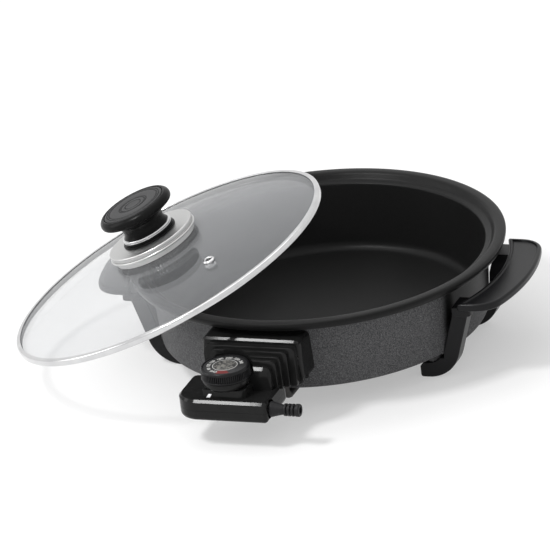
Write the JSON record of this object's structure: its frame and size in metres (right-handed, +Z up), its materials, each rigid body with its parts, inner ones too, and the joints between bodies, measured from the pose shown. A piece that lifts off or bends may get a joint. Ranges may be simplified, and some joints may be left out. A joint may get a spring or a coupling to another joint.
{
  "type": "electric pizza pan",
  "caption": "Round electric pizza pan on two handle-legs, with a loose domed glass lid leaning on its rim and a plug-in dial thermostat.",
  "frame": {"origin": "on the axis of the round pan, at the height of the surface that the feet stand on", "axes": "+Z up along the axis of the pan; -Y towards the thermostat; the two handles at +X and -X"},
  "size_m": [0.4902, 0.4222, 0.1808],
  "materials": {
    "cast": "dark non-stick coating with fine light speckle",
    "phenolic": "satin black heat-resistant plastic",
    "gloss_black": "glossy black moulded plastic",
    "steel": "plain steel",
    "sheath": "oxidised steel sheath",
    "ceramic": "white ceramic",
    "glass": "clear tempered glass",
    "polished": "polished stainless steel",
    "rubber": "silicone",
    "cap_grey": "satin dark grey plastic",
    "brass": "plain brass",
    "dial_print": "satin black disc with white print and a red mark",
    "cord_rubber": "soft black moulding",
    "lens": "clear white lens",
    "lamp": "small neon lamp"
  },
  "bodies": {
    "pan": {"pan_body": "cast", "handle_right": "phenolic", "handle_left": "phenolic", "foot_screws": "steel", "heating_element": "sheath", "element_clips": "steel", "clip_screws": "steel", "terminal_pins": "polished", "pin_seals": "ceramic", "socket_guard": "gloss_black", "guard_nuts": "steel"},
    "lid": {"lid_glass": "glass", "lid_band": "polished", "vent_eyelet": "polished", "lid_boss": "phenolic", "boss_washer": "rubber", "knob_plate": "polished", "knob_base": "phenolic", "knob_ring": "polished", "knob_grip": "phenolic", "knob_cap": "cap_grey", "knob_screw": "steel"},
    "control": {"control_cover": "gloss_black", "control_base": "gloss_black", "plug_nose": "gloss_black", "contact_sleeves": "brass", "sensor_probe": "steel", "switch_frame": "steel", "bimetal_blade": "brass", "contact_springs": "brass", "insulator_stack": "ceramic", "pilot_lens": "lens", "pilot_lamp": "lamp", "strain_relief": "cord_rubber", "housing_screws": "steel"},
    "dial": {"cam_spindle": "steel", "dial_skirt": "phenolic", "dial_face": "dial_print", "spindle_clip": "steel"}
  },
  "joints": [
    {"name": "lid_lift", "type": "slide", "parent": "pan", "child": "lid", "axis": [0, 0, 1], "range_m": [0, 0.12]},
    {"name": "control_pull", "type": "slide", "parent": "pan", "child": "control", "axis": [0, -1, 0], "range_m": [0, 0.04]},
    {"name": "dial_turn", "type": "hinge", "parent": "control", "child": "dial", "pos_m": [-0.0145, -0.2185, 0.07], "axis": [0, 0, -1], "range_deg": [0, 280]}
  ]
}
